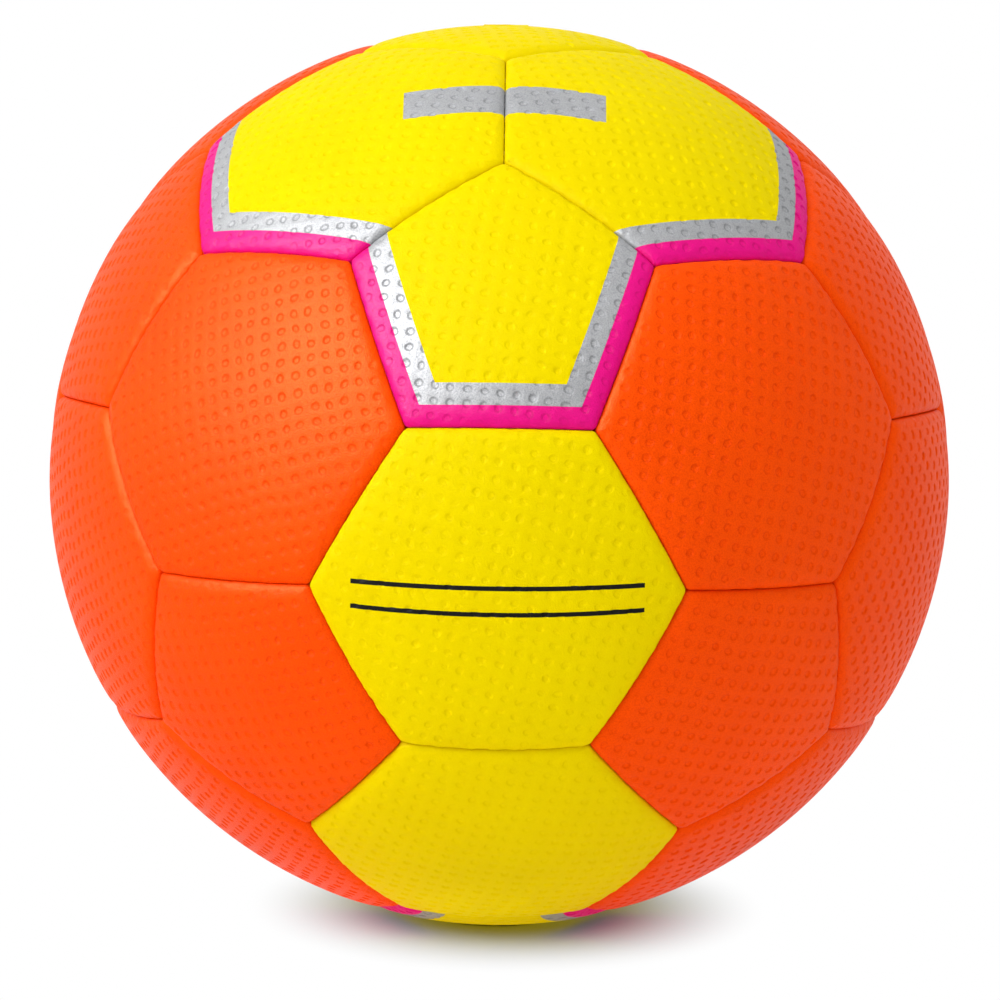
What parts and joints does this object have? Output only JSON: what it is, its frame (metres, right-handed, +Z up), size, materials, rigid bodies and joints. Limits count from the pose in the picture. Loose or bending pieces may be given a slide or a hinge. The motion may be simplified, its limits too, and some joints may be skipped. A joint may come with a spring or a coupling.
{
  "type": "handball",
  "caption": "Stitched handball of pentagon and hexagon panels with folded hems, padded linings, a round rubber bladder and a self-closing needle valve.",
  "frame": {"origin": "centre of the ball", "axes": "+Z up through the valve in the middle of the top pentagon, -Y to the front of the picture"},
  "size_m": [0.175, 0.175, 0.1749],
  "materials": {
    "orange_cover": "semi-gloss dimpled polyurethane leather",
    "yellow_cover": "semi-gloss dimpled polyurethane leather, some panels with printed stripes along their edges",
    "lining_laminate": "foam backed with woven cloth",
    "waxed_thread": "waxed polyester thread",
    "bladder_rubber": "smooth matt rubber",
    "valve_rubber": "moulded matt rubber",
    "plug_rubber": "moulded matt rubber"
  },
  "bodies": {
    "root": {"bladder": "bladder_rubber", "bottom_pentagon_cover": "yellow_cover", "hexagon_linings": "lining_laminate", "hexagon_seam_threads": "waxed_thread", "lower_belt_hexagon_1_cover": "yellow_cover", "lower_belt_hexagon_2_cover": "orange_cover", "lower_belt_hexagon_3_cover": "orange_cover", "lower_belt_hexagon_4_cover": "orange_cover", "lower_belt_hexagon_5_cover": "orange_cover", "lower_hexagon_1_cover": "yellow_cover", "lower_hexagon_2_cover": "orange_cover", "lower_hexagon_3_cover": "yellow_cover", "lower_hexagon_4_cover": "yellow_cover", "lower_hexagon_5_cover": "orange_cover", "lower_pentagon_1_cover": "orange_cover", "lower_pentagon_2_cover": "orange_cover", "lower_pentagon_3_cover": "yellow_cover", "lower_pentagon_4_cover": "orange_cover", "lower_pentagon_5_cover": "orange_cover", "pentagon_linings": "lining_laminate", "pentagon_seam_threads": "waxed_thread", "top_pentagon_cover": "yellow_cover", "upper_belt_hexagon_1_cover": "orange_cover", "upper_belt_hexagon_2_cover": "orange_cover", "upper_belt_hexagon_3_cover": "yellow_cover", "upper_belt_hexagon_4_cover": "orange_cover", "upper_belt_hexagon_5_cover": "orange_cover", "upper_hexagon_1_cover": "yellow_cover", "upper_hexagon_2_cover": "orange_cover", "upper_hexagon_3_cover": "yellow_cover", "upper_hexagon_4_cover": "orange_cover", "upper_hexagon_5_cover": "yellow_cover", "upper_pentagon_1_cover": "yellow_cover", "upper_pentagon_2_cover": "orange_cover", "upper_pentagon_3_cover": "orange_cover", "upper_pentagon_4_cover": "orange_cover", "upper_pentagon_5_cover": "orange_cover", "valve_boot": "valve_rubber", "valve_plug": "plug_rubber"}
  },
  "joints": []
}
